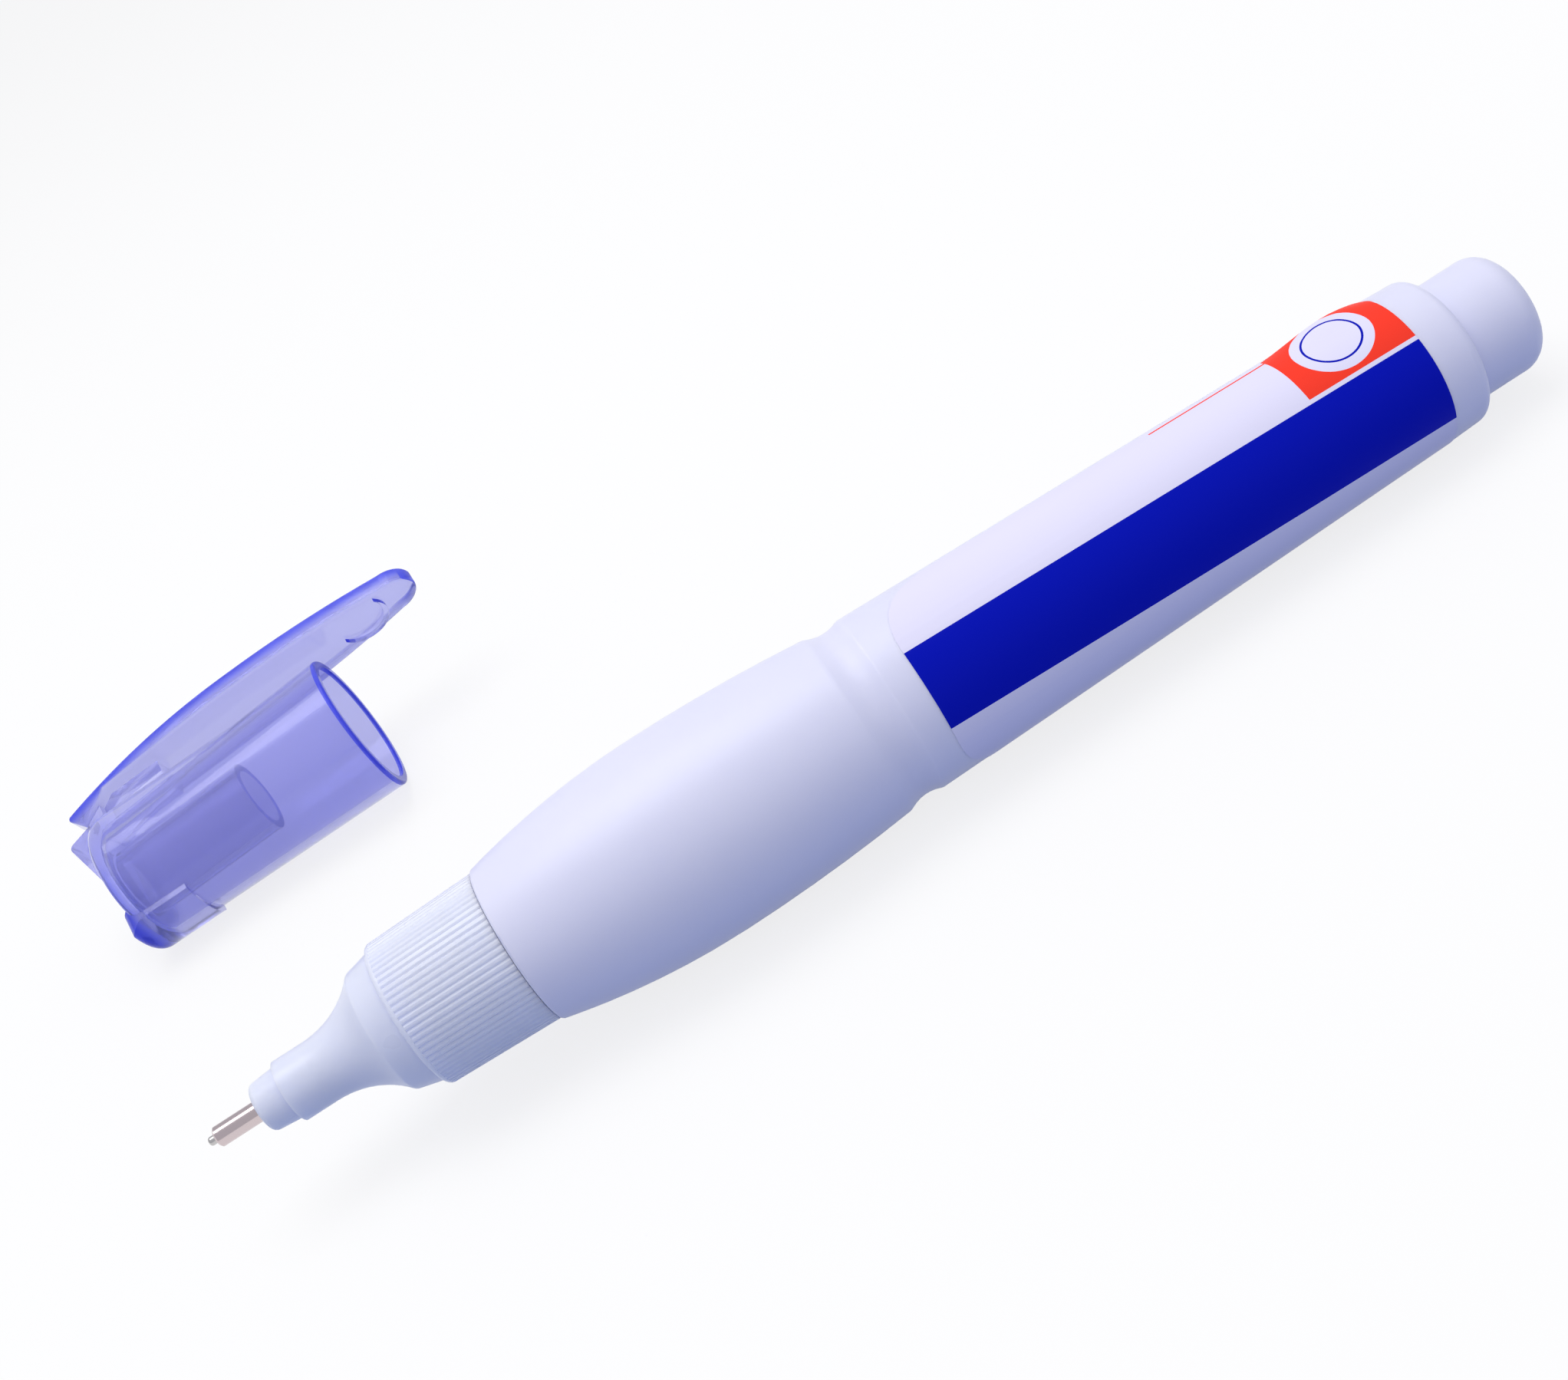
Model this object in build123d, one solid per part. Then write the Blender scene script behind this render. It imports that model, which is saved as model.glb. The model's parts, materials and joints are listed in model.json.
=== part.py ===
"""Correction pen: a squeeze bottle with a sprung needle tip, lying beside its clear cap.

The pen is drawn along X from the needle's point at x = 0, and the cap along X from its
closed end. Both are then laid on the floor, the pen on its bulge and the rear of its barrel.
"""
import os
from math import acos, atan2, cos, degrees, hypot, pi, sin, sqrt

from build123d import *

# Needle, its tube and the valve behind it, millimetres
needle_diameter = 0.8
needle_out = 0.75
needle_stroke = 0.65
needle_clearance = 0.05
needle_point_edge = 0.24
tip_diameter = 1.86
tip_bare_length = 4.3
tip_grip_length = 4.45
tip_bore_diameter = 1.24
tip_guide_length = 1.2
tip_edge = 0.15
tip_head_diameter = 2.8
tip_head_length = 0.8
valve_head_diameter = 2.2
valve_head_length = 1.0
valve_stem_diameter = 1.3
valve_stop_gap = 0.05
valve_seat_gap = 0.02
spring_wire = 0.3
spring_diameter = 2.3
spring_turns = 5
spring_length = 5.0
spring_seat_gap = 0.05
retainer_length = 1.5
retainer_hole = 0.9
retainer_slots = 3
retainer_slot_width = 0.7

# Nozzle: the white nose with its ribbed skirt
nose_front_diameter = 4.4
nose_front_rear_diameter = 4.9
nose_front_length = 2.75
nose_front_edge = 0.5
nose_neck_diameter = 5.64
nose_neck_length = 2.9
flare_length = 6.1
flare_diameter = 11.2
band_length = 2.4
band_rear_diameter = 12.4
lip_edge = 0.5
skirt_front_diameter = 13.45
skirt_rear_diameter = 14.1
skirt_length = 10.55
skirt_edge = 0.5
rib_count = 72
rib_groove_width = 0.34
rib_groove_depth = 0.12
channel_diameter = 3.4
chamber_diameter = 8.6

# Bottle
seam_gap = 0.05
neck_diameter = 11.6
neck_length = 7.6
neck_clearance = 0.05
neck_bead = 0.25
neck_bead_from_shoulder = 3.4
bottle_wall = 0.9
bottle_front_diameter = 14.45
bottle_front_edge = 0.35
crown_from_front = 16.9
crown_diameter = 18.54
crown_to_groove = 16.6
bulge_rear_diameter = 16.8
groove_width = 3.2
groove_diameter = 15.85
bulge_rear_edge = 1.4
groove_edge = 0.6
barrel_front_diameter = 16.48
barrel_rear_diameter = 14.1
barrel_length = 51.8
shoulder_length = 3.8
shoulder_diameter = 13.7
shoulder_edge = 1.0
tail_diameter = 10.96
tail_length = 7.2
tail_root_fillet = 0.25
tail_edge = 2.0
tail_dome = 0.5

# Gasket, label and mixing ball
gasket_thickness = 0.8
label_from_groove = 2.6
label_from_shoulder = 0.2
label_thickness = 0.12
label_half_wrap = 87.0
label_front_corner = 8.0
label_rear_corner = 1.5
label_margin = 2.0
label_raise = 23.0
ball_diameter = 4.5
ball_wall_gap = 0.3
ball_from_groove = 26.0

# Cap, with its stations measured from the closed end and its heights from the axis
cap_length = 30.5
cap_mouth_diameter = 16.1
cap_end_diameter = 13.8
cap_wall = 0.9
cap_end_wall = 1.2
cap_end_edge = 2.2
cap_mouth_edge = 0.3
sleeve_diameter = 8.26
sleeve_wall = 0.9
sleeve_length = 17.2
saddle_lift = 1.0
saddle_end_diameter = 14.6
saddle_front_diameter = 13.4
saddle_length = 25.0
web_length = 9.6
web_width = 3.2
clip_underside = 10.4
clip_top = 12.5
clip_root_top = 10.3
clip_rise_length = 20.0
clip_root_overhang = 1.8
clip_past_mouth = 12.7
clip_root_width = 5.4
clip_width = 8.6
clip_widest_from_end = 22.0
clip_tip_width = 5.2
clip_tip_length = 2.8
clip_edge = 0.4
crescent_from_tip = 7.0
crescent_aside = -0.5
crescent_radius = 3.1
crescent_turn = 60.0
crescent_shift = 0.8
crescent_height = 0.5
lug_overhang = 2.75
lug_foot_overhang = 0.2
lug_width = 5.4
lug_low = -1.4
lug_high = 7.0
lug_edge = 0.6
notch_depth = 0.1
notch_height = 7.8
notch_back_length = 3.5
heel_height = 0.5
heel_overhang = 1.0
heel_length = 8.1
heel_edge = 1.4
heel_root = 4.0
heel_half_width = 4.0
heel_corner = 3.0

# Where the cap lies: its mouth from the needle's point, how far behind the pen, clip's lift
cap_mouth_from_point = 22.1
cap_behind_pen = 54.1
clip_lift = 30.0

# Stations along the pen
x_tube = needle_out
x_nose = x_tube + tip_bare_length
x_step = x_nose + nose_front_length
x_flare = x_step + nose_neck_length
x_lip = x_flare + flare_length
x_skirt = x_lip + band_length
x_seam = x_skirt + skirt_length
x_bottle = x_seam + seam_gap
x_neck = x_bottle - neck_length
x_gasket = x_neck - gasket_thickness
x_crown = x_bottle + crown_from_front
x_groove = x_crown + crown_to_groove
x_barrel = x_groove + groove_width
x_shoulder = x_barrel + barrel_length
x_tail = x_shoulder + shoulder_length
x_end = x_tail + tail_length
x_tip_head = x_nose + tip_grip_length
x_seat = x_tip_head + tip_head_length
x_valve = x_seat + valve_seat_gap
x_spring = x_valve + valve_head_length + spring_seat_gap
x_retainer = x_spring + spring_length + spring_seat_gap
x_chamber = x_retainer + retainer_length
x_label = x_barrel + label_from_groove
x_label_end = x_shoulder - label_from_shoulder
x_ball = x_barrel + ball_from_groove

barrel_taper = (barrel_front_diameter - barrel_rear_diameter) / 2 / barrel_length
cap_taper = (cap_mouth_diameter - cap_end_diameter) / 2 / cap_length


def barrel_radius(x):
    return barrel_front_diameter / 2 - barrel_taper * (x - x_barrel)


def cap_radius(u):
    return cap_end_diameter / 2 + cap_taper * u


def face_of(*edges):
    return make_face(Wire(edges))


def rounded(face, x, r, radius):
    """Round the outline's corner nearest to a place."""
    corner = face.vertices().sort_by_distance(Vector(x, r, 0))[0]
    return fillet(corner, radius)


def lathe(face):
    """Turn an outline, with x along the axis and y as the radius, into a round solid."""
    return revolve(face, Axis.X, 360)


def rod(x_from, x_to, diameter):
    """A plain round bar along X."""
    return lathe(face_of(*Polyline((x_from, 0), (x_to, 0), (x_to, diameter / 2),
                                   (x_from, diameter / 2), close=True).edges()))


def tube(x_from, x_to, outside, inside):
    return rod(x_from, x_to, outside) - rod(x_from, x_to, inside)


def biarc(start, start_way, end, end_way):
    """Two arcs that meet smoothly and leave and reach the two points in the given directions."""
    across = end - start
    both = start_way + end_way
    a = 2 * (1 - start_way.dot(end_way))
    b = 2 * across.dot(both)
    reach = (sqrt(b * b + 4 * a * across.dot(across)) - b) / (2 * a)
    first = start + start_way * reach
    last = end - end_way * reach
    middle = (first + last) * 0.5
    return [TangentArc(start, middle, tangent=start_way), TangentArc(middle, end, tangent=last - first)]


def bottle_outline(inset):
    """Half section of the bottle behind its neck, drawn in all round by the inset."""
    front = x_bottle + inset
    tail = x_tail - inset
    end = x_end - inset
    r_front = bottle_front_diameter / 2 - inset
    r_crown = crown_diameter / 2 - inset
    r_bulge_rear = bulge_rear_diameter / 2 - inset
    r_groove = groove_diameter / 2 - inset
    r_barrel = barrel_front_diameter / 2 - inset
    r_barrel_rear = barrel_rear_diameter / 2 - inset
    r_shoulder = shoulder_diameter / 2 - inset
    r_tail = tail_diameter / 2 - inset
    crown = (x_crown, r_crown)
    bulge_rear = (x_groove, r_bulge_rear)
    groove = (x_groove + groove_width / 2, r_groove)
    barrel = (x_barrel, r_barrel)
    face = face_of(
        Line((front, 0), (front, r_front)),
        TangentArc(crown, (front, r_front), tangent=(-1, 0)),
        TangentArc(crown, bulge_rear, tangent=(1, 0)),
        ThreePointArc(bulge_rear, groove, barrel),
        Line(barrel, (x_shoulder, r_barrel_rear)),
        Line((x_shoulder, r_barrel_rear), (tail, r_shoulder)),
        Line((tail, r_shoulder), (tail, r_tail)),
        Line((tail, r_tail), (end - tail_dome, r_tail)),
        TangentArc((end, 0), (end - tail_dome, r_tail), tangent=(0, 1)),
        Line((end, 0), (front, 0)),
    )
    face = rounded(face, front, r_front, bottle_front_edge)
    face = rounded(face, x_groove, r_bulge_rear, bulge_rear_edge)
    face = rounded(face, x_barrel, r_barrel, groove_edge)
    face = rounded(face, tail, r_shoulder, shoulder_edge)
    face = rounded(face, tail, r_tail, tail_root_fillet)
    return rounded(face, end - tail_dome, r_tail, tail_edge)


def make_label():
    """Printed film let into the barrel, wrapped over most of its front, with round corners."""
    outer = [barrel_radius(x_label), barrel_radius(x_label_end)]
    inner = [r - label_thickness for r in outer]
    strip = face_of(*Polyline((x_label, inner[0]), (x_label, outer[0]), (x_label_end, outer[1]),
                              (x_label_end, inner[1]), close=True).edges())
    film = Rot(-label_half_wrap, 0, 0) * revolve(strip, Axis.X, 2 * label_half_wrap)
    for x, inward, corner in ((x_label, 1, label_front_corner), (x_label_end, -1, label_rear_corner)):
        r = barrel_radius(x)
        block = corner + label_margin
        half_corner_wrap = degrees(corner / 2 / r)
        for side in (1, -1):
            waste = Pos(inward * (corner - label_margin) / 2, -side * label_margin / 2) * Rectangle(
                block, block)
            waste = waste - Pos(inward * corner, side * corner / 2) * Circle(corner)
            cutter = extrude(Pos(0, 0, r - label_margin) * waste, 2 * label_margin)
            film = film - Pos(x, 0, 0) * Rot(side * (label_half_wrap - half_corner_wrap) - 90, 0, 0) * cutter
    return film


def make_bottle(label):
    """Blow-moulded squeeze bottle: neck with a snap bead, bulge, waist groove, barrel and tail."""
    neck = tube(x_neck, x_bottle + bottle_wall, neck_diameter, chamber_diameter)
    x_bead = x_bottle - neck_bead_from_shoulder
    bead = lathe(Pos(x_bead, neck_diameter / 2) * Circle(neck_bead))
    bead = bead - rod(x_neck, x_bottle, neck_diameter)
    body = lathe(bottle_outline(0)) - lathe(bottle_outline(bottle_wall))
    body = body - rod(x_bottle, x_bottle + bottle_wall, chamber_diameter)
    return body + neck + bead - label


def make_nozzle():
    """White nose and ribbed skirt in one moulding, snapped over the bottle's neck."""
    r_nose = nose_front_diameter / 2
    r_flare = nose_neck_diameter / 2
    r_lip = flare_diameter / 2
    r_skirt = skirt_front_diameter / 2
    r_rear = skirt_rear_diameter / 2
    skin = face_of(
        Line((x_nose, 0), (x_nose, r_nose)),
        Line((x_nose, r_nose), (x_step, nose_front_rear_diameter / 2)),
        Line((x_step, nose_front_rear_diameter / 2), (x_step, r_flare)),
        Line((x_step, r_flare), (x_flare, r_flare)),
        TangentArc((x_flare, r_flare), (x_lip, r_lip), tangent=(1, 0)),
        Line((x_lip, r_lip), (x_skirt, band_rear_diameter / 2)),
        Line((x_skirt, band_rear_diameter / 2), (x_skirt, r_skirt)),
        Line((x_skirt, r_skirt), (x_seam, r_rear)),
        Line((x_seam, r_rear), (x_seam, 0)),
        Line((x_seam, 0), (x_nose, 0)),
    )
    skin = rounded(skin, x_nose, r_nose, nose_front_edge)
    skin = rounded(skin, x_lip, r_lip, lip_edge)
    skin = rounded(skin, x_skirt, r_skirt, skirt_edge)
    nozzle = lathe(skin)
    nozzle = nozzle - rod(x_nose, x_tip_head, tip_diameter)
    nozzle = nozzle - rod(x_tip_head, x_chamber, channel_diameter)
    nozzle = nozzle - rod(x_chamber, x_gasket, chamber_diameter)
    skirt_bore = neck_diameter + 2 * neck_clearance
    nozzle = nozzle - rod(x_gasket, x_seam, skirt_bore)
    x_bead = x_bottle - neck_bead_from_shoulder
    nozzle = nozzle - lathe(Pos(x_bead, neck_diameter / 2) * Circle(neck_bead + neck_clearance))
    groove = Polyline((-rib_groove_width / 2, 0), (0, -rib_groove_depth), (rib_groove_width / 2, 0),
                      (rib_groove_width / 2, rib_groove_depth), (-rib_groove_width / 2, rib_groove_depth),
                      close=True)
    slope = degrees(atan2(r_rear - r_skirt, skirt_length))
    cutter = extrude(Plane.YZ * make_face(groove), skirt_length)
    cutter = Pos(x_skirt + skirt_edge, 0, r_skirt) * Rot(0, -slope, 0) * cutter
    ribs = [Rot(360 / rib_count * n, 0, 0) * cutter for n in range(rib_count)]
    return nozzle.cut(*ribs)


def make_tip_tube():
    """Drawn metal tube pressed into the nose, with a head that stops it and is the valve's seat."""
    shape = rod(x_tube, x_tip_head, tip_diameter)
    front = shape.edges().filter_by(GeomType.CIRCLE).sort_by(Axis.X)[0]
    shape = chamfer(front, tip_edge)
    shape = shape + rod(x_tip_head, x_seat, tip_head_diameter)
    shape = shape - rod(x_tube, x_tube + tip_guide_length, needle_diameter + 2 * needle_clearance)
    return shape - rod(x_tube + tip_guide_length, x_seat, tip_bore_diameter)


def make_needle():
    """Round steel needle with a domed point, held in the valve's head."""
    bar = rod(0, x_valve + valve_head_length, needle_diameter)
    point = bar.edges().filter_by(GeomType.CIRCLE).sort_by(Axis.X)[0]
    return fillet(point, needle_point_edge)


def make_valve_head():
    """Plastic carrier that grips the needle, closes the tube, guides the spring and stops the stroke."""
    head = rod(x_valve, x_valve + valve_head_length, valve_head_diameter)
    stem_end = x_retainer - needle_stroke - valve_stop_gap
    head = head + rod(x_valve + valve_head_length, stem_end, valve_stem_diameter)
    return head - rod(x_valve, x_valve + valve_head_length, needle_diameter)


def make_spring():
    """Compression spring in one wire, wound on arcs of a quarter turn."""
    radius = (spring_diameter - spring_wire) / 2
    travel = spring_length - spring_wire
    pitch = travel / spring_turns
    steps = 4 * spring_turns

    def place(turn):
        angle = 2 * pi * turn
        return Vector(x_spring + spring_wire / 2 + pitch * turn, radius * cos(angle), radius * sin(angle))

    def way(turn):
        angle = 2 * pi * turn
        return Vector(pitch / 2 / pi, -radius * sin(angle), radius * cos(angle)).normalized()

    arcs = []
    for n in range(steps):
        arcs += biarc(place(n / 4), way(n / 4), place((n + 1) / 4), way((n + 1) / 4))
    path = Wire(arcs)
    print("spring gap", round(pitch * radius / hypot(radius, pitch / 2 / pi) - spring_wire, 3))
    section = Plane(origin=place(0), z_dir=way(0)) * Circle(spring_wire / 2)
    wire = sweep(section, path=path)
    print("spring volume ratio", round(wire.volume / (pi * spring_wire ** 2 / 4 * path.length), 4))
    return wire


def make_retainer():
    """Round plug behind the spring, with a hole and slots that let the fluid through."""
    plug = tube(x_retainer, x_chamber, channel_diameter, retainer_hole)
    slot = Pos((x_retainer + x_chamber) / 2, 0, channel_diameter / 2) * Box(
        retainer_length, retainer_slot_width, channel_diameter / 2 - retainer_hole / 2)
    return plug - [Rot(360 / retainer_slots * n, 0, 0) * slot for n in range(retainer_slots)]


def make_gasket():
    """Flat ring squeezed between the nozzle and the end of the neck."""
    return tube(x_gasket, x_neck, neck_diameter, chamber_diameter)


def make_ball():
    """Loose steel ball that stirs the fluid when the pen is shaken, low in the barrel."""
    drop = barrel_radius(x_ball) - bottle_wall - ball_wall_gap - ball_diameter / 2
    return Pos(x_ball, 0, -drop) * Sphere(ball_diameter / 2)


def along_cap(face, width):
    """Stretch a side view of the cap, drawn with its height as y, evenly across the cap's middle."""
    return extrude(Plane((0, width / 2, 0), x_dir=(1, 0, 0), z_dir=(0, -1, 0)) * face, width)


def make_clip():
    """Leaf-shaped clip, thin at its root and arched along its back, with a crescent under its tip."""
    root = -clip_root_overhang
    tip = cap_length + clip_past_mouth
    tip_start = tip - clip_tip_length
    crest = (clip_rise_length, clip_top)
    side = face_of(
        TangentArc(crest, (root, clip_root_top), tangent=(-1, 0)),
        *Polyline((root, clip_root_top), (notch_depth, notch_height),
                  (notch_depth + notch_back_length, clip_underside), (tip, clip_underside),
                  (tip, clip_top), crest).edges(),
    )
    widest = (clip_widest_from_end, clip_width / 2)
    shoulder = (tip_start, clip_tip_width / 2)
    half = face_of(
        TangentArc(widest, (root, clip_root_width / 2), tangent=(-1, 0)),
        TangentArc(widest, shoulder, tangent=(1, 0)),
        RadiusArc(shoulder, (tip, 0), clip_tip_length),
        Line((tip, 0), (root, 0)),
        Line((root, 0), (root, clip_root_width / 2)),
    )
    leaf = half + mirror(half, about=Plane.XZ)
    plate = along_cap(side, clip_width) & extrude(leaf, clip_top)
    plate = fillet(plate.edges(), clip_edge)
    moon = Circle(crescent_radius) - Pos(-crescent_shift, 0) * Circle(crescent_radius)
    moon_place = Pos(tip - crescent_from_tip, crescent_aside, clip_underside - crescent_height)
    moon = moon_place * Rot(0, 0, crescent_turn) * moon
    return plate + extrude(moon, crescent_height + (clip_top - clip_underside) / 2)


def make_cap():
    """Clear cap in one moulding: tapered tube with a saddle, inner sleeve, clip on a web, lug and heel."""
    r_end = cap_end_diameter / 2
    r_mouth = cap_mouth_diameter / 2
    skin = face_of(*Polyline((0, 0), (0, r_end), (cap_length, r_mouth), (cap_length, 0), close=True).edges())
    skin = rounded(skin, 0, r_end, cap_end_edge)
    skin = rounded(skin, cap_length, r_mouth, cap_mouth_edge)
    inside_end = cap_radius(cap_end_wall) - cap_wall
    hollow = face_of(*Polyline((cap_end_wall, 0), (cap_end_wall, inside_end),
                               (cap_length, r_mouth - cap_wall), (cap_length, 0), close=True).edges())
    hollow = rounded(hollow, cap_end_wall, inside_end, cap_end_edge - cap_wall)
    r_saddle = saddle_end_diameter / 2
    saddle = face_of(*Polyline((0, 0), (0, r_saddle), (saddle_length, saddle_front_diameter / 2),
                               (saddle_length, 0), close=True).edges())
    saddle = rounded(saddle, 0, r_saddle, cap_end_edge)
    heel_back = -heel_overhang
    heel_front = heel_back + heel_length
    heel = face_of(*Polyline((heel_back, heel_root), (heel_back, cap_radius(heel_back) + heel_height),
                             (heel_front, cap_radius(heel_front) + heel_height), (heel_front, heel_root),
                             close=True).edges())
    heel = rounded(heel, heel_back, cap_radius(heel_back) + heel_height, heel_edge)
    tab = Pos(heel_back + heel_length / 2, 0, -heel_root) * Rectangle(heel_length, 2 * heel_half_width)
    tab = fillet(tab.vertices().group_by(Axis.X)[0], heel_corner)
    heel = lathe(heel) & extrude(tab, -cap_mouth_diameter)
    lug = face_of(*Polyline((cap_end_edge, lug_low), (-lug_foot_overhang, lug_low),
                            (-lug_overhang, lug_high), (notch_depth, notch_height),
                            (cap_end_edge, clip_underside), close=True).edges())
    lug = rounded(lug, -lug_overhang, lug_high, lug_edge)
    web = face_of(*Polyline((cap_end_wall, 0), (cap_end_wall, clip_underside), (web_length, clip_underside),
                            (web_length, 0), close=True).edges())
    shell = lathe(skin) + Pos(0, 0, saddle_lift) * lathe(saddle) + heel
    shell = shell + along_cap(lug, lug_width) + along_cap(web, web_width)
    sleeve = tube(cap_end_wall, sleeve_length, sleeve_diameter, sleeve_diameter - 2 * sleeve_wall)
    return shell - lathe(hollow) + sleeve + make_clip()


def pen_lie():
    """The pen's dip to its tail, and its lift, when its bulge and barrel's rear touch the floor."""
    fall = (crown_diameter - bulge_rear_diameter) / 2
    arc = (crown_to_groove ** 2 + fall ** 2) / (2 * fall)
    arc_centre = crown_diameter / 2 - arc
    along = x_shoulder - x_crown
    out = barrel_rear_diameter / 2 - arc_centre
    dip = atan2(along, out) - acos(arc / hypot(along, out))
    lift = x_crown * sin(dip) + arc_centre * cos(dip) + arc
    return dip, lift


dip, lift = pen_lie()
pen_place = Pos(0, 0, lift) * Rot(0, degrees(dip), 0)
cap_slope = atan2(cap_mouth_diameter - cap_end_diameter, 2 * cap_length)
cap_axis_height = cap_end_diameter / 2 * cos(cap_slope)
cap_place = (Pos(cap_mouth_from_point - cap_length * cos(cap_slope), cap_behind_pen, cap_axis_height)
             * Rot(0, -degrees(cap_slope), 0) * Rot(clip_lift - 90, 0, 0))

label_turn = Rot(180 - label_raise, 0, 0)
label = label_turn * make_label()
pieces = {
    "label": label,
    "bottle": make_bottle(label),
    "nozzle": make_nozzle(),
    "gasket": make_gasket(),
    "tip_tube": make_tip_tube(),
    "needle": make_needle(),
    "valve_head": make_valve_head(),
    "valve_spring": make_spring(),
    "spring_retainer": make_retainer(),
    "mixing_ball": make_ball(),
}
laid = {name: pen_place * piece for name, piece in pieces.items()}
laid["cap"] = cap_place * make_cap()

# The origin is under the middle of the whole set, on the floor
boxes = [piece.bounding_box() for piece in laid.values()]
low = [min(tuple(box.min)[axis] for box in boxes) for axis in range(3)]
high = [max(tuple(box.max)[axis] for box in boxes) for axis in range(3)]
home = Pos(-(low[0] + high[0]) / 2, -(low[1] + high[1]) / 2, -low[2])

os.makedirs("parts", exist_ok=True)
for name, piece in laid.items():
    export_step(home * piece, f"parts/{name}.step")

print("pen dip degrees", round(degrees(dip), 4), "lift", round(lift, 4))
print("home shift", [round(v, 4) for v in tuple(home.position)])
print("cap slope degrees", round(degrees(cap_slope), 4))
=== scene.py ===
import json
from math import atan2, cos, pi, radians, sin

import bmesh
import bpy
from mathutils import Matrix, Vector


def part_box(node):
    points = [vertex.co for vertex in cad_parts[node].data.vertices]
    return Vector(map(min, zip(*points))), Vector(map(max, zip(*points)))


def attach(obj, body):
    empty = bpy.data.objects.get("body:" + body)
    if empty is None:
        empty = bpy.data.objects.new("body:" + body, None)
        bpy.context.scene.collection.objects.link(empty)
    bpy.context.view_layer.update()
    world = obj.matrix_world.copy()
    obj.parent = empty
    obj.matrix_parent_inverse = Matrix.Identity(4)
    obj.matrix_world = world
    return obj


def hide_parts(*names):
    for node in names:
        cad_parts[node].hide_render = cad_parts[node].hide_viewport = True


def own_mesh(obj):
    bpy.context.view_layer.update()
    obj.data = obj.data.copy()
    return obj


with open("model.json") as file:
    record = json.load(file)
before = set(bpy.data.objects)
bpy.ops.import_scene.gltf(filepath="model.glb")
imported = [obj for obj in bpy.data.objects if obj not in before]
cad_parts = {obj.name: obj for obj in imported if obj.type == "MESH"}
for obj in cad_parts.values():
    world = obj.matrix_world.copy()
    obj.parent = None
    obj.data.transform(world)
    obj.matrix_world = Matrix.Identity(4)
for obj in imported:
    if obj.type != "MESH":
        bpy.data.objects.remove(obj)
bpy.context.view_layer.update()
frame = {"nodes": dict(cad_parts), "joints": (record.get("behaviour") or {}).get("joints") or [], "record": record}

mm = 0.001


# Stage: a plain white table top that keeps the shadows and throws a cool light back, under one
# large soft lamp that hangs overhead and a little behind the pen. The camera stands close above
# the table and is rolled, so that the pen climbs across the picture.
def linear(colour):
    """Linear RGBA of an sRGB hex colour."""
    channels = [int(colour[n:n + 2], 16) / 255 for n in (1, 3, 5)]
    return [c / 12.92 if c <= 0.04045 else ((c + 0.055) / 1.055) ** 2.4 for c in channels] + [1.0]


def add(tree, kind, inputs=None, **settings):
    """Add a node with its settings; an input is a value, or another node or its output to link."""
    made = tree.nodes.new(kind)
    for name, value in settings.items():
        setattr(made, name, value)
    for key, value in (inputs or {}).items():
        if isinstance(value, bpy.types.Node):
            value = next(output for output in value.outputs if output.enabled)
        if isinstance(value, bpy.types.NodeSocket):
            tree.links.new(value, made.inputs[key])
        else:
            made.inputs[key].default_value = value
    return made


def empty_tree(owner):
    """The node tree of a material or a world, with nothing in it yet."""
    owner.use_nodes = True
    owner.node_tree.nodes.clear()
    return owner.node_tree


floor_reach = 1.5
floor_white = linear("#F4F4F6")
floor_bounce = linear("#7F93C3")
floor_glow = 0.8
floor_glow_through = 0.35
pure_white = linear("#FFFFFF")

mesh = bpy.data.meshes.new("table_top")
bm = bmesh.new()
bmesh.ops.create_grid(bm, x_segments=1, y_segments=1, size=floor_reach)
bm.to_mesh(mesh)
bm.free()
table_top = bpy.data.objects.new("table_top", mesh)
bpy.context.scene.collection.objects.link(table_top)

table_paint = bpy.data.materials.new("white_table_paint")
tree = empty_tree(table_paint)
path = add(tree, "ShaderNodeLightPath")
through = path.outputs["Is Transmission Ray"]
met = add(tree, "ShaderNodeMath", {0: path.outputs["Is Camera Ray"], 1: path.outputs["Is Glossy Ray"]},
          operation="MAXIMUM")
met_glow = add(tree, "ShaderNodeMath", {0: met, 1: floor_glow}, operation="MULTIPLY")
through_glow = add(tree, "ShaderNodeMath", {0: through, 1: floor_glow_through}, operation="MULTIPLY")
share = add(tree, "ShaderNodeMath", {0: met_glow, 1: through_glow}, operation="MAXIMUM")
seen = add(tree, "ShaderNodeMath", {0: met, 1: through}, operation="MAXIMUM")
tint = add(tree, "ShaderNodeMix", {"Factor": seen, "A": floor_bounce, "B": floor_white}, data_type="RGBA")
paint = add(tree, "ShaderNodeBsdfDiffuse", {"Color": tint})
glow = add(tree, "ShaderNodeEmission", {"Color": pure_white, "Strength": 1.0})
mixed = add(tree, "ShaderNodeMixShader", {0: share, 1: paint, 2: glow})
add(tree, "ShaderNodeOutputMaterial", {"Surface": mixed})
mesh.materials.append(table_paint)

sky_fill = linear("#F2F3FA")
sky_strength = 0.68
world = bpy.data.worlds.new("studio")
bpy.context.scene.world = world
tree = empty_tree(world)
path = add(tree, "ShaderNodeLightPath")
fill = add(tree, "ShaderNodeBackground", {"Color": sky_fill, "Strength": sky_strength})
white = add(tree, "ShaderNodeBackground", {"Color": pure_white, "Strength": 1.0})
mixed = add(tree, "ShaderNodeMixShader", {0: path.outputs["Is Camera Ray"], 1: fill, 2: white})
add(tree, "ShaderNodeOutputWorld", {"Surface": mixed})

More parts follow.
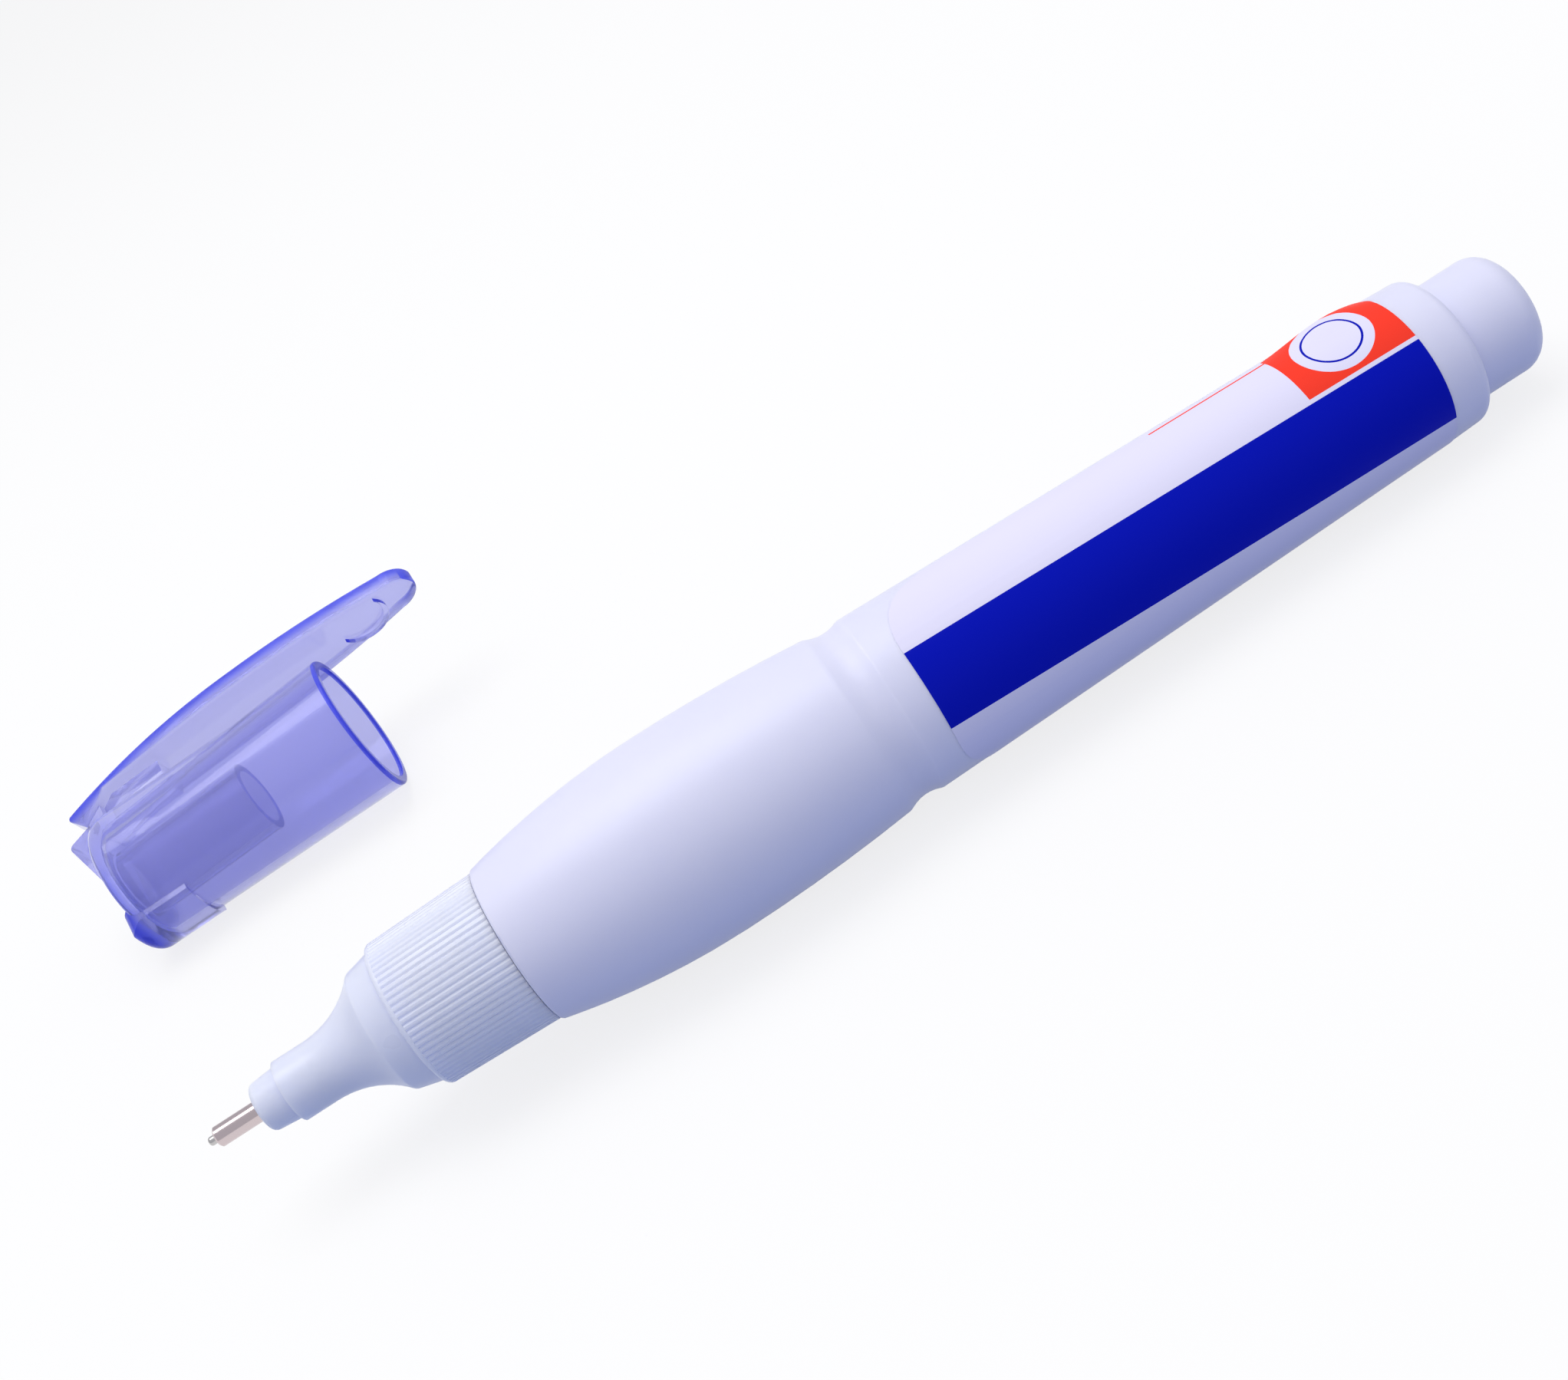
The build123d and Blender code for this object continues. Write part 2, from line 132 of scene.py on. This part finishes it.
lamp_place = Vector((-0.03, 0.05, 0.55))
lamp_size = 0.4
lamp_watts = 1.62
light = bpy.data.lights.new("overhead_lamp", "AREA")
light.size = lamp_size
light.energy = lamp_watts
lamp = bpy.data.objects.new("overhead_lamp", light)
lamp.location = lamp_place
lamp.rotation_euler = (-lamp_place).to_track_quat("-Z", "Y").to_euler()
bpy.context.scene.collection.objects.link(lamp)

camera_place = Vector((-2.987, -165.94, 102.625)) * mm
camera_aim = Vector((1.118, -16.628, 8.0)) * mm
camera_roll = radians(-33.452)
camera_lens = 45.79
camera_nearest = 10 * mm
film_width = 36.0
camera = bpy.data.cameras.new("camera")
camera.lens = camera_lens
camera.sensor_width = film_width
camera.clip_start = camera_nearest
stand = bpy.data.objects.new("camera", camera)
turn = (camera_aim - camera_place).to_track_quat("-Z", "Y").to_matrix().to_4x4()
stand.matrix_world = Matrix.Translation(camera_place) @ turn @ Matrix.Rotation(camera_roll, 4, "Z")
bpy.context.scene.collection.objects.link(stand)
bpy.context.scene.camera = stand
bpy.context.scene.view_settings.view_transform = "Standard"


# Bottle: the soft squeeze body of blow-moulded polyethylene, white with a cool cast. It comes out of
# a satin mould, so it is softly shiny with a fine grain, faintly cloudy, and light sinks into it.
bottle_white = linear("#E2E3FF")
bottle_pale = linear("#E6E6FF")
bottle_cloud = 9 * mm
bottle_grain = 0.35 * mm
bottle_grain_depth = 0.02 * mm
bottle_grain_share = 0.12
bottle_shiniest = 0.34
bottle_dullest = 0.46
bottle_ior = 1.5
bottle_glow = 0.6
bottle_glow_depth = 0.5 * mm
even_depth = (1, 1, 1)

bottle_plastic = bpy.data.materials.new("polyethylene_blow_moulded")
tree = empty_tree(bottle_plastic)
where = add(tree, "ShaderNodeTexCoord")
cloud = add(tree, "ShaderNodeTexNoise", {
    "Vector": where.outputs["Object"], "Scale": 1 / bottle_cloud, "Detail": 3.0})
tint = add(tree, "ShaderNodeMix", {"Factor": cloud, "A": bottle_white, "B": bottle_pale},
           data_type="RGBA")
grain = add(tree, "ShaderNodeTexNoise", {
    "Vector": where.outputs["Object"], "Scale": 1 / bottle_grain, "Detail": 2.0})
shine = add(tree, "ShaderNodeMapRange", {
    "Value": grain, "To Min": bottle_shiniest, "To Max": bottle_dullest})
relief = add(tree, "ShaderNodeBump", {
    "Height": grain, "Strength": bottle_grain_share, "Distance": bottle_grain_depth})
skin = add(tree, "ShaderNodeBsdfPrincipled", {
    "Base Color": tint, "Roughness": shine, "IOR": bottle_ior, "Normal": relief,
    "Subsurface Weight": bottle_glow, "Subsurface Radius": even_depth,
    "Subsurface Scale": bottle_glow_depth})
add(tree, "ShaderNodeOutputMaterial", {"Surface": skin})
frame["nodes"]["bottle"].material_slots[0].material = bottle_plastic


# Label: a printed film of polypropylene, stuck round the barrel's upper side with its front
# corners cut round. It is one thin sheet, bent to the barrel, which lifts a little at its rear top.
pen_axis = Vector(next(joint["axis"] for joint in frame["joints"] if joint["name"] == "needle_press"))
needle_middle = sum(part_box("needle"), Vector()) / 2
needle_reach = min((v.co - needle_middle).dot(pen_axis) for v in frame["nodes"]["needle"].data.vertices)
pen_place = (Matrix.Translation(needle_middle + pen_axis * needle_reach)
             @ pen_axis.to_track_quat("X", "Z").to_matrix().to_4x4())

label_front = 69.05
label_rear = 118.15
label_top = radians(-76.5)
label_foot = radians(98.5)
label_facing = radians(34)
label_front_corner = 7.2
label_rear_corner = 1.3
label_corner_steps = 12
label_film = 0.16
label_proud = 0.05
label_bend_step = 0.8
label_lift = 0.6
label_lift_from = 107.5
label_lift_angle = radians(-50)
label_lift_lean = 1.5
label_crease = radians(40)
barrel_from = 66.5
barrel_front_radius = 8.24
barrel_taper = 0.02297
flat_radius = 7.6


def barrel_radius(x):
    """The barrel's radius in millimetres at a distance from the needle's point."""
    return barrel_front_radius - barrel_taper * (x - barrel_from)


def lifted(x, angle):
    """How far the film stands off the barrel where its rear top has come loose."""
    along = max(0.0, min(1.0, (x - label_lift_from) / (label_rear - label_lift_from)))
    over = max(0.0, min(1.0, (label_lift_angle - angle) / (label_lift_angle - label_top)))
    return label_lift * sin(pi * along ** label_lift_lean) * over * over * (3 - 2 * over)


bm = bmesh.new()
outline = ((label_front, label_top), (label_rear, label_top),
           (label_rear, label_foot), (label_front, label_foot))
bm.faces.new([bm.verts.new((x, angle * flat_radius, 0)) for x, angle in outline])
for end, radius in ((label_front, label_front_corner), (label_rear, label_rear_corner)):
    corners = [v for v in bm.verts if abs(v.co.x - end) < label_film]
    bmesh.ops.bevel(bm, geom=corners, offset=radius, segments=label_corner_steps, profile=0.5,
                    affect="VERTICES", material=-1)
bends = int((label_foot - label_top) * flat_radius / label_bend_step)
for n in range(1, bends):
    y = label_top * flat_radius + n * label_bend_step
    bmesh.ops.bisect_plane(bm, geom=bm.verts[:] + bm.edges[:] + bm.faces[:], plane_co=(0, y, 0),
                           plane_no=(0, 1, 0))
for x in range(int(label_lift_from), int(label_rear)):
    bmesh.ops.bisect_plane(bm, geom=bm.verts[:] + bm.edges[:] + bm.faces[:], plane_co=(x, 0, 0),
                           plane_no=(1, 0, 0))
for v in bm.verts:
    angle = v.co.y / flat_radius
    radius = barrel_radius(v.co.x) + label_proud + lifted(v.co.x, angle)
    v.co.yz = -radius * cos(label_facing - angle), radius * sin(label_facing - angle)
bmesh.ops.recalc_face_normals(bm, faces=bm.faces[:])
if sum(f.normal.yz.dot(f.calc_center_median().yz) for f in bm.faces) < 0:
    bmesh.ops.reverse_faces(bm, faces=bm.faces[:])
bmesh.ops.solidify(bm, geom=bm.faces[:], thickness=label_film)
printed = bm.loops.layers.uv.new("printed")
for f in bm.faces:
    f.smooth = True
    for loop in f.loops:
        x, y, z = loop.vert.co
        loop[printed].uv = x, (label_facing - atan2(z, -y)) * barrel_radius(x)
for e in bm.edges:
    e.smooth = e.calc_face_angle(0) < label_crease
bmesh.ops.transform(bm, matrix=pen_place @ Matrix.Scale(mm, 4), verts=bm.verts[:])
mesh = bpy.data.meshes.new("label_film")
bm.to_mesh(mesh)
bm.free()
label = bpy.data.objects.new("label_film", mesh)
bpy.context.scene.collection.objects.link(label)
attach(label, "pen")
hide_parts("label")

label_white = linear("#E6E3FB")
label_blue = linear("#0414B6")
label_red = linear("#FF402E")
band_top = -2.85
band_top_drift = 0.0235
band_foot = 4.5
band_foot_drift = 0.033
band_gap = 0.38
block_from = 107.9
disc_place = (112.9, -6.2, 0)
disc_radius = 3.5
ring_radius = 2.5
ring_width = 0.2
rule_from = 96.5
rule_above_band = 7.0
rule_width = 0.3
film_wave = 4 * mm
film_wave_depth = 0.05 * mm
film_wave_share = 0.2
film_shiniest = 0.24
film_dullest = 0.36
film_ior = 1.5
film_gloss = 0.05

# Its print is read off the film laid flat, in millimetres from the needle's point and round the barrel.
film = bpy.data.materials.new("polypropylene_film_printed")
tree = empty_tree(film)
flat = add(tree, "ShaderNodeUVMap", uv_map="printed")
split = add(tree, "ShaderNodeSeparateXYZ", {0: flat})
along, around = split.outputs[0], split.outputs[1]
run = add(tree, "ShaderNodeMath", {0: along, 1: label_front}, operation="SUBTRACT")
top = add(tree, "ShaderNodeMath", {0: run, 1: band_top_drift, 2: band_top}, operation="MULTIPLY_ADD")
foot = add(tree, "ShaderNodeMath", {0: run, 1: band_foot_drift, 2: band_foot}, operation="MULTIPLY_ADD")
under_top = add(tree, "ShaderNodeMath", {0: around, 1: top}, operation="GREATER_THAN")
over_foot = add(tree, "ShaderNodeMath", {0: around, 1: foot}, operation="LESS_THAN")
in_band = add(tree, "ShaderNodeMath", {0: under_top, 1: over_foot}, operation="MULTIPLY")
gap = add(tree, "ShaderNodeMath", {0: top, 1: band_gap}, operation="SUBTRACT")
over_gap = add(tree, "ShaderNodeMath", {0: around, 1: gap}, operation="LESS_THAN")
behind = add(tree, "ShaderNodeMath", {0: along, 1: block_from}, operation="GREATER_THAN")
in_block = add(tree, "ShaderNodeMath", {0: over_gap, 1: behind}, operation="MULTIPLY")
off_disc = add(tree, "ShaderNodeVectorMath", {0: flat, 1: disc_place}, operation="DISTANCE")
in_disc = add(tree, "ShaderNodeMath", {0: off_disc, 1: disc_radius}, operation="LESS_THAN")
in_ring = add(tree, "ShaderNodeMath", {0: off_disc, 1: ring_radius, 2: ring_width / 2},
              operation="COMPARE")
rule = add(tree, "ShaderNodeMath", {0: top, 1: rule_above_band}, operation="SUBTRACT")
near_rule = add(tree, "ShaderNodeMath", {0: around, 1: rule, 2: rule_width / 2}, operation="COMPARE")
beside_rule = add(tree, "ShaderNodeMath", {
    0: along, 1: (block_from + rule_from) / 2, 2: (block_from - rule_from) / 2}, operation="COMPARE")
in_rule = add(tree, "ShaderNodeMath", {0: near_rule, 1: beside_rule}, operation="MULTIPLY")
tint = label_white
for place, ink in ((in_band, label_blue), (in_block, label_red), (in_disc, label_white),
                   (in_ring, label_blue), (in_rule, label_red)):
    tint = add(tree, "ShaderNodeMix", {"Factor": place, "A": tint, "B": ink}, data_type="RGBA")
where = add(tree, "ShaderNodeTexCoord")
waves = add(tree, "ShaderNodeTexNoise", {
    "Vector": where.outputs["Object"], "Scale": 1 / film_wave, "Detail": 2.0})
relief = add(tree, "ShaderNodeBump", {
    "Height": waves, "Strength": film_wave_share, "Distance": film_wave_depth})
shine = add(tree, "ShaderNodeMapRange", {"Value": waves, "To Min": film_shiniest, "To Max": film_dullest})
skin = add(tree, "ShaderNodeBsdfPrincipled", {
    "Base Color": tint, "Roughness": shine, "IOR": film_ior, "Specular IOR Level": film_gloss,
    "Normal": relief})
add(tree, "ShaderNodeOutputMaterial", {"Surface": skin})
mesh.materials.append(film)


# Nozzle: the nose and its ribbed skirt in one injection moulding of polypropylene, snapped on to the
# neck. Its mould was polished, so it is shinier than the bottle, and light sinks deeper into it.
nozzle_white = linear("#DFE3FF")
nozzle_pale = linear("#E3E6FF")
nozzle_cloud = 5 * mm
nozzle_shiniest = 0.24
nozzle_dullest = 0.34
nozzle_ior = 1.49
nozzle_glow = 1.0
nozzle_glow_depth = 1.2 * mm

nozzle_plastic = bpy.data.materials.new("polypropylene_injection_moulded")
tree = empty_tree(nozzle_plastic)
where = add(tree, "ShaderNodeTexCoord")
cloud = add(tree, "ShaderNodeTexNoise", {
    "Vector": where.outputs["Object"], "Scale": 1 / nozzle_cloud, "Detail": 3.0})
tint = add(tree, "ShaderNodeMix", {"Factor": cloud, "A": nozzle_white, "B": nozzle_pale},
           data_type="RGBA")
shine = add(tree, "ShaderNodeMapRange", {
    "Value": cloud, "To Min": nozzle_shiniest, "To Max": nozzle_dullest})
skin = add(tree, "ShaderNodeBsdfPrincipled", {
    "Base Color": tint, "Roughness": shine, "IOR": nozzle_ior, "Subsurface Weight": nozzle_glow,
    "Subsurface Radius": even_depth, "Subsurface Scale": nozzle_glow_depth})
add(tree, "ShaderNodeOutputMaterial", {"Surface": skin})
frame["nodes"]["nozzle"].material_slots[0].material = nozzle_plastic


# Tip tube and needle: the tube is drawn brass plated with nickel, the needle ground steel. Both are
# turned, so fine rings run round them; the needle slides in the tube and stands out of it.
def turned_metal(name, colour, dullest, shiniest, ring):
    """Metal with fine rings across the pen's axis, which shift its shine a little."""
    metal = bpy.data.materials.new(name)
    tree = empty_tree(metal)
    where = add(tree, "ShaderNodeTexCoord")
    along = add(tree, "ShaderNodeVectorMath", {0: where.outputs["Object"], 1: tuple(pen_axis)},
                operation="DOT_PRODUCT")
    rings = add(tree, "ShaderNodeTexNoise", {"W": along, "Scale": 1 / ring, "Detail": 3.0},
                noise_dimensions="1D")
    shine = add(tree, "ShaderNodeMapRange", {"Value": rings, "To Min": shiniest, "To Max": dullest})
    skin = add(tree, "ShaderNodeBsdfPrincipled", {
        "Base Color": linear(colour), "Metallic": 1.0, "Roughness": shine})
    add(tree, "ShaderNodeOutputMaterial", {"Surface": skin})
    return metal


tip_metal = turned_metal("nickel_plated_brass", "#D2C4C6", dullest=0.22, shiniest=0.1, ring=0.15 * mm)
needle_metal = turned_metal("ground_stainless_steel", "#C9C7C6", dullest=0.36, shiniest=0.22,
                            ring=0.08 * mm)
frame["nodes"]["tip_tube"].material_slots[0].material = tip_metal
frame["nodes"]["needle"].material_slots[0].material = needle_metal


# Valve head and spring retainer: small acetal mouldings inside the nose, ivory white and waxy. The
# head carries the needle and shuts the tube; the retainer is pressed in behind and holds the spring.
acetal_ivory = linear("#EFEDE6")
acetal_pale = linear("#F6F4EE")
acetal_cloud = 1.5 * mm
acetal_shiniest = 0.3
acetal_dullest = 0.42
acetal_ior = 1.48

acetal = bpy.data.materials.new("acetal_moulded")
tree = empty_tree(acetal)
where = add(tree, "ShaderNodeTexCoord")
cloud = add(tree, "ShaderNodeTexNoise", {
    "Vector": where.outputs["Object"], "Scale": 1 / acetal_cloud, "Detail": 2.0})
tint = add(tree, "ShaderNodeMix", {"Factor": cloud, "A": acetal_ivory, "B": acetal_pale},
           data_type="RGBA")
shine = add(tree, "ShaderNodeMapRange", {
    "Value": cloud, "To Min": acetal_shiniest, "To Max": acetal_dullest})
skin = add(tree, "ShaderNodeBsdfPrincipled", {"Base Color": tint, "Roughness": shine, "IOR": acetal_ior})
add(tree, "ShaderNodeOutputMaterial", {"Surface": skin})
frame["nodes"]["valve_head"].material_slots[0].material = acetal
frame["nodes"]["spring_retainer"].material_slots[0].material = acetal


# Valve spring: drawn stainless wire wound into five turns between the valve head and the retainer.
# It is one round wire swept along its helix; on the pen it shortens when the needle is pressed, here it keeps its
# rest length.
spring_from = 11.37
spring_length = 5.0
spring_radius = 1.0
spring_turns = 5
spring_turn_steps = 28
spring_wire = 0.3
spring_wire_sides = 10

bm = bmesh.new()
start = (Matrix.Translation((spring_from + spring_wire / 2, spring_radius, 0))
         @ Matrix.Rotation(radians(90), 4, "X"))
ring = bmesh.ops.create_circle(bm, segments=spring_wire_sides, radius=spring_wire / 2,
                               matrix=start)["verts"]
steps = spring_turn_steps * spring_turns
bmesh.ops.spin(bm, geom=list({e for v in ring for e in v.link_edges}) + ring, cent=(0, 0, 0),
               axis=(1, 0, 0), dvec=((spring_length - spring_wire) / steps, 0, 0),
               angle=2 * pi * spring_turns, steps=steps)
bmesh.ops.holes_fill(bm, edges=[e for e in bm.edges if e.is_boundary], sides=0)
bmesh.ops.recalc_face_normals(bm, faces=bm.faces[:])
for f in bm.faces:
    f.smooth = len(f.verts) == 4
bmesh.ops.transform(bm, matrix=pen_place @ Matrix.Scale(mm, 4), verts=bm.verts[:])
mesh = bpy.data.meshes.new("valve_spring_wire")
bm.to_mesh(mesh)
bm.free()
spring = bpy.data.objects.new("valve_spring_wire", mesh)
bpy.context.scene.collection.objects.link(spring)
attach(spring, "pen")
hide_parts("valve_spring")
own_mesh(spring)
spring_metal = turned_metal("drawn_spring_steel", "#B9B9BD", dullest=0.42, shiniest=0.3, ring=0.1 * mm)
mesh.materials.append(spring_metal)


# Gasket: a flat ring cut from nitrile rubber, pale grey and dull with a slight bloom. It is squeezed
# between the nozzle and the end of the bottle's neck.
rubber_grey = linear("#D2D1CE")
rubber_pale = linear("#DEDDDA")
rubber_bloom = 0.6 * mm
rubber_dull = 0.7

rubber = bpy.data.materials.new("nitrile_rubber")
tree = empty_tree(rubber)
where = add(tree, "ShaderNodeTexCoord")
bloom = add(tree, "ShaderNodeTexNoise", {
    "Vector": where.outputs["Object"], "Scale": 1 / rubber_bloom, "Detail": 3.0})
tint = add(tree, "ShaderNodeMix", {"Factor": bloom, "A": rubber_grey, "B": rubber_pale}, data_type="RGBA")
skin = add(tree, "ShaderNodeBsdfPrincipled", {"Base Color": tint, "Roughness": rubber_dull})
add(tree, "ShaderNodeOutputMaterial", {"Surface": skin})
frame["nodes"]["gasket"].material_slots[0].material = rubber


# Mixing ball: a ground and polished steel ball, loose inside the bottle, that stirs the fluid when
# the pen is shaken. Small worn patches dull its shine.
ball_colour = linear("#CDCDD0")
ball_wear = 0.8 * mm
ball_shiniest = 0.08
ball_dullest = 0.2

ball_steel = bpy.data.materials.new("polished_ball_steel")
tree = empty_tree(ball_steel)
where = add(tree, "ShaderNodeTexCoord")
wear = add(tree, "ShaderNodeTexNoise", {
    "Vector": where.outputs["Object"], "Scale": 1 / ball_wear, "Detail": 3.0})
shine = add(tree, "ShaderNodeMapRange", {"Value": wear, "To Min": ball_shiniest, "To Max": ball_dullest})
skin = add(tree, "ShaderNodeBsdfPrincipled", {
    "Base Color": ball_colour, "Metallic": 1.0, "Roughness": shine})
add(tree, "ShaderNodeOutputMaterial", {"Surface": skin})
frame["nodes"]["mixing_ball"].material_slots[0].material = ball_steel


# Cap: one clear moulding in blue-violet styrene, tube, inner sleeve, clip, lug and heel together. It is
# a little milky. Its rims, its closed end and the clip's sides are painted a deeper blue and let less
# light through: painted shade for the light that runs along inside them. The inner sleeve is painted
# a paler tint: painted light.
cap_milk = linear("#CFD0FC")
# A paler tint painted on the inner sleeve alone: painted light on the same moulding.
cap_sleeve_painted_light = linear("#E6E6FE")
# The deeper blue painted on the rims, the closed end and the clip's sides: painted shade.
cap_painted_edge_shade = linear("#5A63F2")
cap_deep = linear("#8B8FFA")
cap_deep_density = 40.0
cap_clear = 0.83
cap_painted_edge_clear = 0.45
cap_ior = 1.18
cap_coat = 0.7
cap_coat_dull = 0.12
cap_coat_ior = 1.5
cap_cloud = 3 * mm
cap_shiniest = 0.04
cap_dullest = 0.1
cap_length = 30.5 * mm
clip_turn = radians(30)
clip_height = 12.5 * mm
clip_under = 9.5 * mm
# Where the painted shade on the clip's sides starts and is full, below the clip's top.
clip_painted_shade_from = -2.3 * mm
clip_painted_shade_full = -0.46 * mm
clip_crest = 20 * mm
clip_arch = 21.8 * mm
clip_drop = 2.2 * mm
clip_far_share = 0.4
clip_tip_from = 37 * mm
clip_tip_full = 42 * mm
side_tilt_from = 0.8
side_tilt_full = 0.3
rim_tilt = 0.7
rim_band = 0.45 * mm
web_length = 12 * mm
web_half_width = 2.0 * mm
sleeve_radius = 4.8 * mm
end_painted_shade_from = 2.4 * mm
end_painted_shade_full = 0.0 * mm
end_low_from = 3.0 * mm
end_low_full = -3.0 * mm
end_high_share = 0.3

clip_mount = next(mount for mount in frame["record"]["mounts"] if mount["name"] == "cap_clip")
cap_axis = Vector(clip_mount["axis"])
clip_out = Vector((0, cos(clip_turn), 0)) + cap_axis.cross(Vector((0, 1, 0))) * sin(clip_turn)
clip_side = cap_axis.cross(clip_out)
clip_middle = Vector(clip_mount["pos_m"]).dot(clip_side)
closed_end = Vector(clip_mount["pos_m"]).dot(cap_axis) - cap_length
cap_middle = max(v.co.dot(clip_out) for v in frame["nodes"]["cap"].data.vertices) - clip_height

cap_styrene = bpy.data.materials.new("styrene_clear_blue_violet")
tree = empty_tree(cap_styrene)
where = add(tree, "ShaderNodeTexCoord")


def reach(source, direction, start=0.0):
    """How far a place or a normal of the cap reaches along a direction."""
    dot = add(tree, "ShaderNodeVectorMath", {0: where.outputs[source], 1: tuple(direction)},
              operation="DOT_PRODUCT")
    return add(tree, "ShaderNodeMath", {0: dot, 1: start}, operation="SUBTRACT")


along = reach("Object", cap_axis, closed_end)
across = reach("Object", clip_side, clip_middle)
height = reach("Object", clip_out, cap_middle)

# The clip's sides are painted a deeper blue, a painted shade, most along its arched top, all along the near side
# and round the tip.
rise = reach("Object", -cap_axis, -closed_end - clip_crest)
rise = add(tree, "ShaderNodeMath", {0: rise, 1: 0.0}, operation="MAXIMUM")
rise = add(tree, "ShaderNodeMath", {0: rise, 1: 1 / clip_arch}, operation="MULTIPLY")
arch = add(tree, "ShaderNodeMath", {0: rise, 1: rise}, operation="MULTIPLY")
sunk = add(tree, "ShaderNodeMath", {0: arch, 1: clip_drop, 2: -clip_height}, operation="MULTIPLY_ADD")
below_top = add(tree, "ShaderNodeMath", {0: height, 1: sunk}, operation="ADD")
by_top = add(tree, "ShaderNodeMapRange", {
    "Value": below_top, "From Min": clip_painted_shade_from, "From Max": clip_painted_shade_full},
    interpolation_type="SMOOTHSTEP")
tilt = reach("Normal", clip_out)
tilt = add(tree, "ShaderNodeMath", {0: tilt}, operation="ABSOLUTE")
on_side = add(tree, "ShaderNodeMapRange", {
    "Value": tilt, "From Min": side_tilt_from, "From Max": side_tilt_full},
    interpolation_type="SMOOTHSTEP")
by_tip = add(tree, "ShaderNodeMapRange", {
    "Value": along, "From Min": clip_tip_from, "From Max": clip_tip_full},
    interpolation_type="SMOOTHSTEP")
near_half = add(tree, "ShaderNodeMath", {0: across, 1: 0.0}, operation="GREATER_THAN")
near = add(tree, "ShaderNodeMath", {0: near_half, 1: by_tip}, operation="MAXIMUM")
near = add(tree, "ShaderNodeMath", {0: near, 1: clip_far_share}, operation="MAXIMUM")
off_middle = add(tree, "ShaderNodeMath", {0: across}, operation="ABSOLUTE")
beside_web = add(tree, "ShaderNodeMath", {0: off_middle, 1: web_half_width}, operation="GREATER_THAN")
past_web = add(tree, "ShaderNodeMath", {0: along, 1: web_length}, operation="GREATER_THAN")
clear_of_web = add(tree, "ShaderNodeMath", {0: past_web, 1: beside_web}, operation="MAXIMUM")
clip_painted_shade = on_side
for share in (near, by_top, clear_of_web):
    clip_painted_shade = add(tree, "ShaderNodeMath", {0: clip_painted_shade, 1: share}, operation="MULTIPLY")

# The rims of the mouth and the sleeve get the same painted shade, and so does the closed end, most of all low down
# at the heel.
facing_out = reach("Normal", cap_axis)
facing_out = add(tree, "ShaderNodeMath", {0: facing_out, 1: rim_tilt}, operation="GREATER_THAN")
rim_painted_shade = add(tree, "ShaderNodeMath", {0: facing_out, 1: past_web}, operation="MULTIPLY")
at_mouth = add(tree, "ShaderNodeMath", {0: along, 1: cap_length - rim_band}, operation="GREATER_THAN")
under_clip = add(tree, "ShaderNodeMath", {0: height, 1: clip_under}, operation="LESS_THAN")
mouth_painted_shade = add(tree, "ShaderNodeMath", {0: at_mouth, 1: under_clip}, operation="MULTIPLY")
at_end = add(tree, "ShaderNodeMapRange", {
    "Value": along, "From Min": end_painted_shade_from, "From Max": end_painted_shade_full},
    interpolation_type="SMOOTHSTEP")
low = add(tree, "ShaderNodeMapRange", {
    "Value": height, "From Min": end_low_from, "From Max": end_low_full},
    interpolation_type="SMOOTHSTEP")
low = add(tree, "ShaderNodeMath", {0: low, 1: end_high_share}, operation="MAXIMUM")
end_painted_shade = add(tree, "ShaderNodeMath", {0: at_end, 1: low}, operation="MULTIPLY")
# All painted-shade masks join into one, which tints these places deeper blue and lets less light through them.
edges = clip_painted_shade
for share in (rim_painted_shade, mouth_painted_shade, end_painted_shade):
    edges = add(tree, "ShaderNodeMath", {0: edges, 1: share}, operation="MAXIMUM")

# Inside the sleeve's radius the tint is painted paler: painted light.
off_axis = add(tree, "ShaderNodeCombineXYZ", {0: across, 1: height})
radius = add(tree, "ShaderNodeVectorMath", {0: off_axis}, operation="LENGTH")
in_sleeve = add(tree, "ShaderNodeMath", {0: radius, 1: sleeve_radius}, operation="LESS_THAN")
tint = add(tree, "ShaderNodeMix", {"Factor": in_sleeve, "A": cap_milk, "B": cap_sleeve_painted_light},
           data_type="RGBA")
tint = add(tree, "ShaderNodeMix", {"Factor": edges, "A": tint, "B": cap_painted_edge_shade}, data_type="RGBA")
clear = add(tree, "ShaderNodeMapRange", {"Value": edges, "To Min": cap_clear, "To Max": cap_painted_edge_clear})
gloss = add(tree, "ShaderNodeMapRange", {"Value": edges, "To Min": cap_coat, "To Max": 0.0})
cloud = add(tree, "ShaderNodeTexNoise", {"Vector": where.outputs["Object"], "Scale": 1 / cap_cloud})
shine = add(tree, "ShaderNodeMapRange", {"Value": cloud, "To Min": cap_shiniest, "To Max": cap_dullest})
skin = add(tree, "ShaderNodeBsdfPrincipled", {
    "Base Color": tint, "Roughness": shine, "IOR": cap_ior, "Transmission Weight": clear,
    "Coat Weight": gloss, "Coat Roughness": cap_coat_dull, "Coat IOR": cap_coat_ior})
depth = add(tree, "ShaderNodeVolumeAbsorption", {"Color": cap_deep, "Density": cap_deep_density})
add(tree, "ShaderNodeOutputMaterial", {"Surface": skin, "Volume": depth})
frame["nodes"]["cap"].material_slots[0].material = cap_styrene
